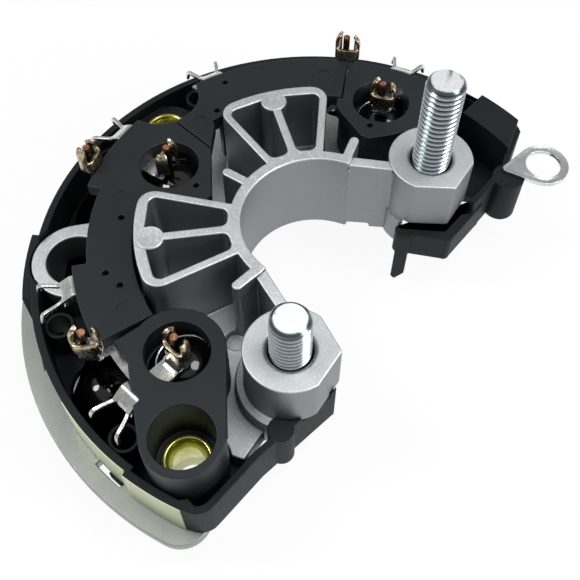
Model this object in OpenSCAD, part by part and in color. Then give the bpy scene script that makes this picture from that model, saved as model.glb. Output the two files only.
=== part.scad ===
// Alternator rectifier plate: a finned positive casting and a flat negative plate hold six press-fit
// diodes, with a moulded carrier, stamped phase conductors and two output studs between them.
// The origin is on the rotor shaft's axis, level with the underside of the negative plate. The open
// side of the horseshoe faces -Y, and directions are turns about the axis, counted from +X.

/* [Negative plate] */
// Width of the plate's rim outside the carrier's skirt
plate_rim_w = 4.9; // [4:0.1:6]
// Width of the plate's web inside the negative diodes
plate_web_w = 2; // [1.5:0.1:3]
// Thickness of the negative plate
plate_t = 2.5; // [2:0.1:4]
// Direction of the plate's right end
plate_start = 4; // [2:1:8]
// Direction of the plate's left end
plate_end = 192.2; // [191:0.1:194]
// Radius of the plate's outer corners
plate_corner_r = 6; // [4:0.5:7]

/* [Positive heat sink] */
// Radius of the shaft clearance bore
bore_r = 15.6; // [15:0.1:16]
// Thickness of the ring wall round the bore
ring_t = 2.4; // [2:0.1:2.8]
// Half the angle that the ring wall covers
ring_half = 82; // [80:1:84]
// Height of the ring wall and the loops from the casting's underside
hub_h = 21; // [20:0.5:22]
// Distance of the casting's edge inside the blocks' outer face
sink_inset = 3.3; // [2.5:0.1:4]
// Thickness of the casting's floor
sink_floor_t = 4; // [3.5:0.1:4.5]
// Outer radius of the two cooling loops
loop_r = 37; // [36:0.1:37.2]
// Direction of each loop from the line of symmetry
loop_turn = 41; // [40.5:0.1:41.5]
// Half the angle that a loop covers
loop_half = 20.3; // [19.5:0.1:20.8]
// Thickness of a loop's side walls
loop_side_t = 1.75; // [1.5:0.05:2]
// Thickness of a loop's outer wall
loop_rim_t = 2.1; // [1.8:0.1:2.4]
// Thickness of a loop's middle rib
rib_t = 1.9; // [1.6:0.1:2.2]
// Radius of the round pad at the end of the rib
pad_r = 2.55; // [2.2:0.05:2.8]
// Distance of each stud from the shaft's axis
boss_pitch = 29.55; // [29:0.05:30]
// Direction of each stud from the line of symmetry
boss_turn = 112; // [111:0.5:113]
// Radius of a stud boss
boss_r = 9; // [8.8:0.1:9.4]
// Distance of a boss's two flats from its axis
boss_flat = 8.3; // [8.2:0.1:8.6]
// Height of a stud boss
boss_h = 12.4; // [11:0.1:13]
// Diameter of the hole for a stud
stud_hole_d = 8.8; // [8.5:0.1:9]

/* [Side lug] */
// Direction of the lug
lug_turn = 123.9; // [123:0.1:125]
// Outer radius of the lug
lug_r = 9.4; // [9:0.1:9.6]
// Radius of the lug's hole
lug_hole_r = 6.2; // [5.5:0.1:6.5]
// Height of the lug
lug_h = 7.5; // [6:0.5:8]

/* [Carrier] */
// Width of the channel from the blocks to the skirt's outer face
channel_w = 10.2; // [9.8:0.1:11]
// Thickness of the skirt and end walls
wall_t = 1.6; // [1.4:0.1:1.8]
// Thickness of the carrier's floor
carrier_floor_t = 2.5; // [2:0.1:3]
// Height of the skirt above the carrier's floor
skirt_h = 9; // [8.5:0.1:9.5]
// Direction of the skirt's right end
skirt_start = -20.5; // [-22:0.5:-19]
// Outer radius of a stator wire guide
guide_r = 3.1; // [3:0.05:3.15]
// Radius of a wire guide's hole
guide_hole_r = 2.3; // [2:0.1:2.4]

/* [Terminal blocks] */
// Outer radius of the terminal blocks
block_r = 49.8; // [47:0.1:53]
// Height of the blocks' top face above the carrier's floor
block_h = 17.5; // [17:0.5:18.5]
// Thickness of a block's top panel
panel_t = 3; // [2.5:0.1:3.5]
// Radius of the opening over a positive diode
window_r = 6.3; // [6:0.1:6.5]
// Outer radius of the screw tube
tube_r = 7.7; // [7.4:0.1:7.8]
// Inner radius of the screw tube
tube_hole_r = 6.05; // [5.8:0.05:6.2]
// Width of the seam between two blocks, as an angle
seam = 0.4; // [0.3:0.1:0.6]
// Radius of the recess over the rear fixing screw
screw_recess_r = 8.6; // [8:0.1:9]

/* [Diodes] */
// Radius of a press-fit diode cup
cup_r = 6.4; // [6.35:0.01:6.45]
// Height of the cup's rim above its seat
cup_rim_h = 1.6; // [1.2:0.1:2]
// Radius of the moulded seal in the cup
seal_r = 5.6; // [5.2:0.1:5.8]
// Height of the seal's dome above the cup
dome_h = 3.2; // [2.5:0.1:3.8]
// Diameter of a diode lead
lead_d = 1.5; // [1.3:0.05:1.6]
// Distance of the negative leads outside the blocks
lead_offset = 1.6; // [1.4:0.1:2]

/* [Phase conductors] */
// Thickness of the stamped strip
strip_t = 1; // [0.8:0.05:1.2]
// Width of a tab that leads to a fork or a hook
tab_w = 4.6; // [4.4:0.1:5]
// Height of the fork's ears above the top face of the blocks
fork_rise = 6; // [5:0.5:6.5]

/* [Studs and rivets] */
// Nominal thread diameter of both studs
stud_d = 8; // [7.9:0.05:8.2]
// Length of the long stud above its boss
long_stud_l = 21.8; // [18:0.2:24]
// Length of the short stud above its boss
short_stud_l = 10.9; // [9:0.1:13]
// Width across the flats of a stud's head
head_flats = 13; // [12.5:0.1:13.2]
// Height of a stud's head
head_h = 5.3; // [5:0.1:5.5]
// Outer radius of a hollow rivet's shank
rivet_r = 3.9; // [3.7:0.1:4]
// Radius of a hollow rivet's hole
rivet_hole_r = 3.2; // [3:0.1:3.4]
// Radius of a hollow rivet's flange
rivet_flange_r = 5.1; // [4.8:0.1:5.5]

/* [Ring terminal] */
// Outer radius of the ring
ring_r = 5.7; // [5.4:0.1:6]
// Radius of the ring's hole
ring_hole_r = 3.9; // [3.6:0.1:4.1]
// Thickness of the ring terminal
ring_terminal_t = 1; // [0.8:0.1:1.2]

/* [Hidden] */
$fn = 96;
// Gaps
fit_gap = 0.1;
side_gap = 0.3;
press_gap = 0.01;
// The rings that everything lies on, all tied to the blocks' outer face
sink_r = block_r - sink_inset;
outer_pitch = block_r + lead_offset;
skirt_r = block_r + channel_w;
plate_r = skirt_r + plate_rim_w;
plate_inner_r = outer_pitch - cup_r - plate_web_w;
positive_inset = [7.7, 10.5, 7.7];
positive_pitch = [for (inset = positive_inset) sink_r - inset];
hook_r = outer_pitch;
// Levels, from the underside of the negative plate upwards
sink_z = plate_t + carrier_floor_t;
sink_top = sink_z + sink_floor_t;
skirt_top = sink_z + skirt_h;
hub_top = sink_z + hub_h;
boss_drop = 1;
boss_top = hub_top - boss_drop;
boss_bottom = boss_top - boss_h;
arm_top = boss_top - 1.3;
block_top = sink_z + block_h;
panel_z = block_top - panel_t;
strip_z = panel_z - strip_t;
guide_top = sink_z + 7;
rivet_seat_z = sink_z + 6;
rivet_flange_t = 1;
lead_top = block_top + fork_rise - 0.6;
// Directions and distances
symmetry = 90;
positive_turn = [169.5, 94.5, 10.5];
negative_turn = [155, 103.5, 24.7];
rivet_turn = [184.3, 76];
hook_turn = [[169.5, 138.5], [88.4], [63.6, 9.5]];
guide_turn = [171, 140.5, 92.3, 63.6, 9.5];
clip_turn = [170.5, 142];
clip_half = [3.3, 2];
seam_turn = [155.6, 79.3, 23.7];
stub_turn = [-78, 0, 78];
guide_pitch = skirt_r - wall_t - guide_r - fit_gap;
clip_reach = 1.1;
far = 2 * plate_r;
// Details of the casting
loop_corner_r = 3.5;
pocket_corner_r = 1.5;
root_t = 0.4;
pad_pitch = loop_r - loop_rim_t - 1.2;
stub_w = 2.1;
stub_inset = 15.4;
stub_tip_r = positive_pitch[0] - stub_inset;
flange_r = 10.8;
flange_span = [-20, 95];
leg_r = boss_r + 0.4;
leg_span = [146, 176];
access_r = 8;
sink_front = -12;
arm_w = 2.3;
arm_lap = 0.4;
arm_sink = 1.2;
arm_turn = 151;
throat_reach = 1.7;
flat_turn = [210, 270];
hex_corner = 2 / sqrt(3);
stud_chamfer = 0.9;
shank_step = 0.5;
relief_r = 2.6;
relief_depth = 0.9;
relief_place = 0.3;
floor_recess = [-24.5, 4];
floor_recess_r = 2.3;
// Details of the carrier and the blocks
collar_r = 8.2;
lug_wall_t = 1;
lug_wall_span = [117.5, 133];
lug_neck = [0.72, -0.69];
lug_neck_l = 13;
skirt_jog = 0.9;
jog_turn = 176.5;
skirt_end = 187.5;
floor_end = 186;
floor_corner = 195;
left_wall_turn = 187;
end_block_h = 11;
end_block_w = 8;
end_block_span = [-27, -9];
// Corners of the cut that slants the end block, as a distance beyond the skirt and a direction
end_block_corners = [[-11.4, -27.8], [6, -16.6], [60, -5], [-14, -5]];
lobe_r = 9.3;
lobe_wall_span = [[265, 430], [110, 275]];
notch_r = block_r - 2.9;
notch_span = [110, 133.4];
block_inner_r = loop_r + 0.7;
lobe_corner_r = 31.7;
lobe_tip = [-4.6, 23.4];
far_lobe_turn = 70.6;
far_lobe_tip = 36.6 * [cos(far_lobe_turn), sin(far_lobe_turn)];
lobe_reach = 0.3;
bus_w = 3;
neck_step = 0.25;
ear_rise = 1;
ear_reach = 1.2;
bus_r = block_r - wall_t - bus_w / 2;
// Spans of the blocks' inner and outer walls, as directions
inner_wall_span = [[113, 150], [31, 67]];
outer_wall_span = [[139.5, 146.5], [87, 94.5], [34, 60], [-8, 5.5]];
// Marks of the moulding pins, as a distance inside the blocks' outer face and a direction
pin_marks = [[9.3, 118.8], [6.4, 137.3], [8.6, 142.2], [3, 59.2], [10, 66.7], [18.8, 10.2], [21.8, 98.8]];
pin_mark_r = 0.65;
pin_mark_depth = 1.6;
ejector_marks = [[7.7, 149.8], [10.6, 73.6], [5.5, 30.2], [7.7, 111.4]];
ejector_mark_r = 1.5;
ejector_mark_depth = 0.12;
// Hooks: how far a sloping plate rises above and drops below its tab, and how its prongs spread
hook_top = 3.4;
hook_drop = 2.1;
hook_lean = 1.25;
prong_reach = 4.2;
prong_spread = 4.2;
prong_w = 1;
prong_root = [0.3, -0.7];
// The carrier's end walls
wall_step = 0.06;
left_corner_r = 3.4;
left_lobe_r = 2.6;
right_lobe_r = 3.6;
low_wall_z = [1.2, 8.4];
low_wall_w = 2.6;
tab_drop = 6;
tab_turn = -74;
tab_reach = 2.9;
tab_slant = 0.8;
tab_top = plate_t + low_wall_z[1] - side_gap;
tongue_r = 1;

function polar(r, a) = [r * cos(a), r * sin(a)];
function unit(v) = v / norm(v);
function positive_at(i) = polar(positive_pitch[i], positive_turn[i]);
function negative_at(i) = polar(outer_pitch, negative_turn[i]);
function rivet_at(i) = polar(outer_pitch, rivet_turn[i]);
boss_at = polar(boss_pitch, symmetry - boss_turn);
left_boss_at = [-boss_at[0], boss_at[1]];
lug_at = polar(outer_pitch, lug_turn);
lobe_corner = polar(lobe_corner_r, seam_turn[1]);

// Points of the arc that rounds the corner q between its neighbours p and s
function corner_arc(p, q, s, r, steps = 6) =
    let (u = unit(p - q), v = unit(s - q), half = acos(u * v) / 2)
    let (center = q + unit(u + v) * r / sin(half))
    let (first = q + u * r / tan(half) - center, last = q + v * r / tan(half) - center)
    let (start = atan2(first[1], first[0]))
    let (sweep = (atan2(last[1], last[0]) - start + 540) % 360 - 180)
    [for (i = [0:steps]) center + polar(r, start + sweep * i / steps)];

function rounded(points, r) =
    let (n = len(points))
    [for (i = [0:n - 1]) each corner_arc(points[(i + n - 1) % n], points[i], points[(i + 1) % n], r)];

// Corners of the carrier's end walls: the left one is rounded into the skirt, the right one steps down
skirt_line_r = skirt_r + skirt_jog - wall_t / 2;
left_start = polar(skirt_line_r, left_wall_turn);
left_bend = polar(skirt_r - 13.6, 198.4);
left_end = left_boss_at + [2.2, -8.2];
left_corner = corner_arc(left_start, polar(skirt_line_r, plate_end), left_bend, left_corner_r);
left_lobe = left_bend + 0.34 * (left_end - left_bend) + [0, 0.6];
right_start = polar(skirt_r - 1.1, skirt_start - 0.3);
right_knee = polar(skirt_r - 8, -25.3);
right_bend = polar(skirt_r - 10.8, -28.1);
right_front = boss_at + [-6.1, -9.5];
right_end = boss_at + [-9.9, 0];
right_step = right_bend + 0.57 * (right_front - right_bend);
right_lobe = polar(skirt_r - 11.6, -31.2);
floor_tip = polar(plate_inner_r - 3.4, -20.7);
tongue_root = polar(skirt_r - 11.1, -29.4);
ring_center = polar(skirt_r - 3.2, -32.3);
tab_at = boss_at + [-10.4, 0.27];

module slab(bottom, top) {
    translate([0, 0, bottom])
        linear_extrude(top - bottom)
            children();
}

module both_sides() {
    children();
    mirror([1, 0, 0])
        children();
}

module wedge(from, to) {
    steps = ceil((to - from) / 40);
    polygon([[0, 0], for (i = [0:steps]) polar(far, from + (to - from) * i / steps)]);
}

module ring_sector(inner, outer, from, to) {
    intersection() {
        difference() {
            circle(r = outer);
            circle(r = inner);
        }
        wedge(from, to);
    }
}

// A ring sector whose two outer corners are rounded
module rounded_sector(inner, outer, from, to, corner) {
    bend = asin(corner / (outer - corner));
    ring_sector(inner, outer, from + bend, to - bend);
    ring_sector(inner, (outer - corner) * cos(bend), from, to);
    for (a = [from + bend, to - bend])
        translate(polar(outer - corner, a))
            circle(r = corner);
}

// Two discs and the band that their outer tangents bound
module link(p, p_r, q, q_r) {
    along = atan2(q[1] - p[1], q[0] - p[0]);
    spread = acos((p_r - q_r) / norm(q - p));
    translate(p)
        circle(r = p_r);
    translate(q)
        circle(r = q_r);
    polygon([
        p + polar(p_r, along + spread), p + polar(p_r, along - spread),
        q + polar(q_r, along - spread), q + polar(q_r, along + spread)
    ]);
}

// A wall along a line of points: round at each point, and a hair narrower between them
module wall_line(points, width) {
    for (p = points)
        translate(p)
            circle(d = width);
    for (i = [0:len(points) - 2]) {
        along = points[i + 1] - points[i];
        side = (width / 2 - wall_step) * unit([-along[1], along[0]]);
        polygon([points[i] + side, points[i] - side, points[i + 1] - side, points[i + 1] + side]);
    }
}

module negative_plate() {
    color("lightgray")
        difference() {
            slab(0, plate_t)
                rounded_sector(plate_inner_r, plate_r, plate_start, plate_end, plate_corner_r);
            slab(-1, plate_t + 1) {
                for (i = [0:2])
                    translate(negative_at(i))
                        circle(r = cup_r);
                for (i = [0:1])
                    translate(rivet_at(i))
                        circle(r = rivet_r + fit_gap);
                for (a = guide_turn)
                    translate(polar(guide_pitch, a))
                        circle(r = guide_hole_r);
                for (i = [0:1])
                    ring_sector(skirt_r - wall_t, skirt_r + clip_reach,
                        clip_turn[i] - clip_half[i], clip_turn[i] + clip_half[i]);
            }
        }
}

// One of a loop's two pockets, drawn for a loop that points along +X
module loop_pocket() {
    inner = bore_r + ring_t + root_t;
    outer = loop_r - loop_rim_t;
    edge = loop_half - asin(loop_side_t / outer);
    root = loop_half - asin(loop_side_t / inner);
    polygon(rounded([
        [inner, rib_t / 2], [outer, rib_t / 2], polar(outer, edge), polar(inner, root)
    ], pocket_corner_r));
}

// The outside of a loop: two straight sides, two round corners and the outer arc between them
function loop_points() =
    let (root = bore_r + ring_t / 2, corner_pitch = loop_r - loop_corner_r)
    let (bend = loop_half - asin(loop_corner_r / corner_pitch), steps = 10)
    concat(
        [polar(root, -loop_half)],
        [for (i = [0:6]) polar(corner_pitch, -bend) + polar(loop_corner_r, -loop_half - 90 + i * side_step())],
        [for (i = [1:steps - 1]) polar(loop_r, bend * (2 * i / steps - 1))],
        [for (i = [6:-1:0]) polar(corner_pitch, bend) + polar(loop_corner_r, loop_half + 90 - i * side_step())],
        [polar(root, loop_half)]
    );
function side_step() = (90 + asin(loop_corner_r / (loop_r - loop_corner_r))) / 6;

module loop_outline() {
    difference() {
        polygon(loop_points());
        loop_pocket();
        mirror([0, 1])
            loop_pocket();
    }
    translate([pad_pitch, 0])
        circle(r = pad_r);
}

module stub_outline(turn) {
    rotate(turn)
        link([bore_r + ring_t / 2, 0], stub_w / 2, [stub_tip_r - stub_w / 2, 0], stub_w / 2);
}

// Cut away beyond the two flats of a boss, with the boss's axis at the origin
module beyond_flats(flat) {
    for (a = flat_turn)
        rotate(a)
            translate([flat, -2 * boss_r])
                square([boss_r, 4 * boss_r]);
}

module boss_outline(grow = 0) {
    middle = (flat_turn[0] + flat_turn[1]) / 2;
    half = (flat_turn[1] - flat_turn[0]) / 2;
    flat = boss_flat + grow;
    difference() {
        union() {
            circle(r = boss_r + grow);
            polygon([
                [0, 0], polar(flat, flat_turn[0]), polar(flat / cos(half), middle), polar(flat, flat_turn[1])
            ]);
        }
        beyond_flats(flat);
    }
}

// The straight wall from the end of the ring to the boss, in plan
arm_start = polar(bore_r + wall_step, symmetry - ring_half + arm_lap);
arm_end = boss_at + polar(boss_r - arm_sink, arm_turn);
arm_side = unit([arm_start[1] - arm_end[1], arm_end[0] - arm_start[0]]);
throat_start = arm_start + arm_w / 2 * arm_side;
throat_end = throat_start + throat_reach * (arm_end - arm_start);
module arm_outline() {
    polygon([
        arm_start, arm_end, arm_end + arm_w * arm_side, arm_start + arm_w * arm_side
    ]);
}

module sink_floor_outline() {
    difference() {
        ring_sector(bore_r + ring_t / 2, sink_r, symmetry - boss_turn, symmetry + boss_turn);
        translate([-far, sink_front - far])
            square([2 * far, far]);
        polygon([throat_start, throat_end, [-throat_end[0], throat_end[1]], [-throat_start[0], throat_start[1]]]);
        translate(rivet_at(0))
            circle(r = tube_r + side_gap);
        translate(rivet_at(1))
            circle(r = collar_r + side_gap);
        for (i = [0:2])
            translate(negative_at(i))
                circle(r = cup_r + side_gap);
    }
}

// The side lug and the neck that widens from it into the casting's floor
module lug_outline() {
    difference() {
        link(lug_at, lug_r, lug_at + lug_neck_l * lug_neck, lug_r - side_gap);
        circle(r = block_inner_r + wall_t + side_gap);
    }
}

module positive_heat_sink() {
    color("silver")
        difference() {
            union() {
                slab(sink_z, sink_top)
                    sink_floor_outline();
                slab(sink_z, hub_top) {
                    ring_sector(bore_r, bore_r + ring_t, symmetry - ring_half, symmetry + ring_half);
                    for (a = [-loop_turn, loop_turn])
                        rotate(symmetry + a)
                            loop_outline();
                    for (a = stub_turn)
                        stub_outline(symmetry + a);
                }
                both_sides() {
                    slab(sink_z, arm_top)
                        arm_outline();
                    translate(boss_at) {
                        slab(boss_bottom, boss_top)
                            boss_outline();
                        slab(sink_z, boss_bottom) {
                            ring_sector(access_r, flange_r, flange_span[0], flange_span[1]);
                            ring_sector(access_r, leg_r, leg_span[0], leg_span[1]);
                        }
                    }
                }
                slab(sink_z, sink_z + lug_h)
                    lug_outline();
            }
            both_sides()
                translate(boss_at) {
                    slab(sink_z - 1, boss_bottom)
                        circle(r = access_r);
                    slab(boss_bottom - 1, boss_top + 1)
                        circle(d = stud_hole_d);
                    translate([0, 0, boss_bottom - 1])
                        cylinder(d = (head_flats + 2 * fit_gap) * hex_corner, h = head_h + 1, $fn = 6);
                    translate([0, 0, boss_top - 0.6])
                        cylinder(d1 = stud_hole_d, d2 = stud_hole_d + 1.4, h = 0.7);
                }
            slab(sink_z - 1, sink_top + 1)
                for (i = [0:2])
                    translate(positive_at(i))
                        circle(r = cup_r);
            slab(sink_z - 1, sink_z + lug_h + 1)
                translate(lug_at)
                    circle(r = lug_hole_r);
            both_sides() {
                slab(sink_top - 2, sink_top + 1)
                    translate(floor_recess)
                        circle(r = floor_recess_r);
                translate(concat(arm_start + relief_place * (arm_end - arm_start) - arm_side, sink_z))
                    rotate([0, 90, atan2(arm_side[1], arm_side[0])])
                        cylinder(r = relief_r, h = 1 + relief_depth);
            }
        }
}

module carrier_floor_outline() {
    skirt_middle_r = skirt_r - wall_t / 2;
    difference() {
        union() {
            ring_sector(plate_inner_r, skirt_r, skirt_start, floor_end);
            polygon(concat(
                [polar(plate_inner_r, 180), polar(skirt_middle_r, 180)],
                left_corner,
                [left_bend, polar(plate_inner_r, floor_corner)]
            ));
            polygon([
                polar(plate_inner_r, 0), polar(skirt_middle_r, 0), polar(skirt_middle_r, skirt_start + 1),
                right_start, right_knee, right_bend, right_lobe, floor_tip
            ]);
        }
        for (i = [0:2])
            translate(negative_at(i))
                circle(r = cup_r + side_gap);
        for (i = [0:1])
            translate(rivet_at(i))
                circle(r = rivet_r + fit_gap);
        for (a = guide_turn)
            translate(polar(guide_pitch, a))
                circle(r = guide_hole_r);
    }
}

module carrier_walls() {
    difference() {
        union() {
            ring_sector(skirt_r - wall_t, skirt_r, skirt_start, jog_turn + 0.8);
            ring_sector(skirt_r - wall_t + skirt_jog, skirt_r + skirt_jog, jog_turn, skirt_end);
        }
        translate(lug_at)
            circle(r = lug_r + side_gap);
    }
    wall_line(concat([left_start], left_corner, [left_bend, left_end]), wall_t - wall_step);
    wall_line([right_start, right_knee, right_bend, right_step], wall_t - wall_step);
    translate(left_lobe)
        circle(r = left_lobe_r);
    translate(right_lobe)
        circle(r = right_lobe_r);
}

// The skirt's bulge round the side lug
module lug_wall() {
    difference() {
        ring_sector(skirt_r - wall_t + wall_step, outer_pitch + lug_r + side_gap + lug_wall_t,
            lug_wall_span[0], lug_wall_span[1]);
        translate(lug_at)
            circle(r = lug_r + side_gap);
    }
}

// The snap tab that hangs from the right end wall, cut slanting at its tip
module snap_tab() {
    translate(concat(tab_at, 0))
        rotate([90, 0, tab_turn])
            linear_extrude(wall_t)
                polygon([
                    [0, tab_top], [tab_reach, tab_top],
                    [tab_reach, -tab_drop / 2], [tab_reach / 3, -tab_drop], [0, -tab_drop + tab_slant]
                ]);
}

module end_block_outline() {
    intersection() {
        ring_sector(skirt_r - end_block_w, skirt_r - wall_step, end_block_span[0], end_block_span[1]);
        polygon([for (corner = end_block_corners) polar(skirt_r + corner[0], corner[1])]);
    }
}

// Room for the stud bosses, their flanges and their legs
module casting_clearance() {
    both_sides()
        translate(boss_at) {
            slab(boss_bottom - side_gap, hub_top)
                boss_outline(side_gap);
            slab(sink_z - side_gap, boss_bottom) {
                ring_sector(access_r, flange_r + side_gap, flange_span[0] - 3, flange_span[1]);
                ring_sector(access_r, leg_r + side_gap, leg_span[0], leg_span[1] + 3);
            }
        }
}

module carrier_base() {
    color("dimgray")
        union() {
            slab(plate_t, sink_z)
                carrier_floor_outline();
            difference() {
                slab(plate_t, skirt_top)
                    carrier_walls();
                casting_clearance();
            }
            slab(plate_t, sink_z + lug_h)
                lug_wall();
            difference() {
                slab(plate_t + low_wall_z[0], plate_t + low_wall_z[1])
                    wall_line([right_step + 0.1 * (right_bend - right_front), right_front, right_end], low_wall_w);
                casting_clearance();
            }
            difference() {
                snap_tab();
                casting_clearance();
            }
            slab(sink_z, sink_z + end_block_h)
                end_block_outline();
            slab(sink_z, rivet_seat_z)
                translate(rivet_at(1))
                    difference() {
                        circle(r = collar_r);
                        circle(r = rivet_r + fit_gap);
                    }
            slab(sink_z, guide_top)
                for (a = guide_turn)
                    translate(polar(guide_pitch, a))
                        difference() {
                            circle(r = guide_r);
                            circle(r = guide_hole_r);
                        }
            slab(fit_gap, plate_t + wall_step)
                for (i = [0:1])
                    ring_sector(skirt_r - wall_t + fit_gap, skirt_r + clip_reach / 2,
                        clip_turn[i] - side_gap, clip_turn[i] + clip_half[i] - side_gap);
        }
}

// The flat part of a phase conductor, in plan
module strip_outline(i) {
    turns = concat(positive_turn[i], negative_turn[i], hook_turn[i]);
    margin = asin(tab_w / 2 / bus_r);
    ring_sector(bus_r - bus_w / 2, bus_r + bus_w / 2, min(turns) - margin, max(turns) + margin);
    neck_w = tab_w - 2 * neck_step;
    lead_clear = lead_d / 2 + fit_gap + strip_t / 2;
    rotate(positive_turn[i])
        translate([positive_pitch[i] + lead_clear, -neck_w / 2])
            square([bus_r - positive_pitch[i] - lead_clear, neck_w]);
    rotate(negative_turn[i])
        translate([bus_r, -neck_w / 2])
            square([outer_pitch - lead_clear - bus_r, neck_w]);
    for (a = hook_turn[i])
        rotate(a)
            translate([bus_r, -neck_w / 2])
                square([hook_r + strip_t / 2 - bus_r, neck_w]);
}

// A fork that stands round a lead at the origin, with its back towards +X
module fork() {
    clear = lead_d / 2 + fit_gap;
    ear_z = block_top + ear_rise;
    slab(strip_z + strip_t / 2, ear_z)
        translate([clear, -tab_w / 2])
            square([strip_t, tab_w]);
    slab(ear_z - ear_rise, block_top + fork_rise)
        for (side = [0, 1])
            mirror([0, side])
                translate([-ear_reach, clear])
                    square([ear_reach + clear + strip_t, strip_t]);
}

// A hook for a stator wire, drawn for a tab that points along +X and ends at the origin: a plate that
// slopes down and outwards, and two prongs that spread from its lower edge
module hook() {
    translate([0, tab_w / 2, strip_z])
        rotate([90, 0, 0])
            linear_extrude(tab_w)
                polygon([
                    [-hook_lean, hook_top], [strip_t - hook_lean, hook_top],
                    [strip_t + hook_lean, -hook_drop], [hook_lean, -hook_drop]
                ]);
    slab(strip_z - hook_drop, strip_z - hook_drop + strip_t)
        for (side = [0, 1])
            mirror([0, side])
                link([hook_lean, tab_w / 2] + prong_root, prong_w / 2, [prong_reach, prong_spread], prong_w / 2);
}

module phase_strip(i) {
    color("lightgray")
        union() {
            slab(strip_z, panel_z)
                strip_outline(i);
            translate(positive_at(i))
                rotate(positive_turn[i])
                    fork();
            translate(negative_at(i))
                rotate(negative_turn[i] + 180)
                    fork();
            for (a = hook_turn[i])
                translate(polar(hook_r, a))
                    rotate(a)
                        hook();
        }
}

module window_at(i) {
    translate(positive_at(i))
        circle(r = window_r);
}

// A block's panel and walls, with the phase conductors' channels cut out
module block_body() {
    color("dimgray")
        difference() {
            children();
            for (i = [0:2]) {
                slab(strip_z, panel_z)
                    strip_outline(i);
                slab(strip_z, block_top + 1)
                    translate(negative_at(i))
                        rotate(negative_turn[i] + 180)
                            translate([lead_d / 2, -tab_w / 2 - fit_gap])
                                square([strip_t + 2 * fit_gap, tab_w + 2 * fit_gap]);
                slab(sink_z, block_top + 1)
                    for (a = hook_turn[i])
                        translate(polar(hook_r, a))
                            rotate(a)
                                translate([-hook_lean - fit_gap, -tab_w / 2 - fit_gap])
                                    square([2 * prong_reach, tab_w + 2 * fit_gap]);
            }
            slab(sink_z - 1, block_top + 1)
                translate(rivet_at(1))
                    circle(r = screw_recess_r);
            slab(block_top - pin_mark_depth, block_top + 1)
                for (mark = pin_marks)
                    translate(polar(block_r - mark[0], mark[1]))
                        circle(r = pin_mark_r);
            slab(block_top - ejector_mark_depth, block_top + 1)
                for (mark = ejector_marks)
                    translate(polar(block_r - mark[0], mark[1]))
                        circle(r = ejector_mark_r);
            casting_clearance();
        }
}

// A stretch of a block's outer wall
module outer_wall(i) {
    slab(sink_z, panel_z)
        ring_sector(block_r - wall_t, block_r, outer_wall_span[i][0], outer_wall_span[i][1]);
}

// A stretch of a block's inner wall, which stands on the casting's floor
module inner_wall(i) {
    slab(sink_top, panel_z)
        ring_sector(block_inner_r, block_inner_r + wall_t, inner_wall_span[i][0], inner_wall_span[i][1]);
}

module block_ring() {
    difference() {
        circle(r = block_r);
        circle(r = block_inner_r);
    }
}

module terminal_block_1() {
    block_body() {
        difference() {
            union() {
                slab(panel_z, block_top)
                    difference() {
                        union() {
                            link(positive_at(0), lobe_r, rivet_at(0), tube_r);
                            polygon([
                                polar(positive_pitch[0] - 3.4, seam_turn[0] + seam),
                                polar(positive_pitch[0] - 9, 164.5),
                                positive_at(0),
                                rivet_at(0),
                                polar(block_r - 0.4, 177),
                                polar(block_r - 3, seam_turn[0] + 1.4)
                            ]);
                        }
                        window_at(0);
                    }
                slab(sink_top, panel_z) {
                    translate(positive_at(0))
                        ring_sector(lobe_r - wall_t, lobe_r, lobe_wall_span[0][0], lobe_wall_span[0][1]);
                    link(polar(block_r - 3.6, 166.7), wall_t / 2, polar(block_r - 2, 175.2), wall_t / 2);
                }
                slab(sink_z, block_top)
                    translate(rivet_at(0))
                        circle(r = tube_r);
            }
            slab(rivet_seat_z, block_top + 1)
                translate(rivet_at(0))
                    circle(r = tube_hole_r);
            slab(sink_z - 1, block_top)
                translate(rivet_at(0))
                    circle(r = rivet_r + fit_gap);
        }
    }
}

module terminal_block_2() {
    block_body() {
        slab(panel_z, block_top)
            difference() {
                intersection() {
                    union() {
                        block_ring();
                        polygon([
                            lobe_corner + lobe_reach * (lobe_corner - lobe_tip),
                            lobe_tip,
                            polar(25, 108.6),
                            polar(block_inner_r + 1, 109.2),
                            polar(block_inner_r + 3, 95),
                            polar(block_inner_r + 3, seam_turn[1] - 3)
                        ]);
                    }
                    wedge(seam_turn[1] + seam / 2, seam_turn[0] - seam / 2);
                }
                ring_sector(notch_r, far, notch_span[0], notch_span[1]);
                window_at(1);
            }
        inner_wall(0);
        outer_wall(0);
        outer_wall(1);
    }
}

module terminal_block_3() {
    block_body() {
        slab(panel_z, block_top)
            intersection() {
                union() {
                    block_ring();
                    polygon([
                        lobe_corner + lobe_reach * (lobe_corner - far_lobe_tip), far_lobe_tip,
                        polar(block_inner_r + 2, far_lobe_turn), polar(block_inner_r + 2, seam_turn[1] + 3)
                    ]);
                }
                wedge(seam_turn[2] + seam / 2, seam_turn[1] - seam / 2);
            }
        inner_wall(1);
        outer_wall(2);
    }
}

module terminal_block_4() {
    block_body() {
        slab(panel_z, block_top)
            difference() {
                intersection() {
                    circle(r = block_r);
                    polygon([
                        polar(far, seam_turn[2] - seam / 2),
                        polar(block_inner_r - side_gap, seam_turn[2] - seam / 2),
                        polar(block_inner_r - side_gap, seam_turn[2] + 1.6),
                        polar(positive_pitch[2] - 4.3, seam_turn[2] + 1.6),
                        polar(positive_pitch[2] - 11.3, 12.2),
                        polar(positive_pitch[2] - 11.7, 8),
                        polar(positive_pitch[2] - 7.8, -0.7),
                        polar(positive_pitch[2] + 2.2, -10),
                        polar(far, -10)
                    ]);
                }
                window_at(2);
            }
        slab(sink_top, panel_z)
            translate(positive_at(2))
                ring_sector(lobe_r - wall_t, lobe_r, lobe_wall_span[1][0], lobe_wall_span[1][1]);
        outer_wall(3);
    }
}

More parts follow.
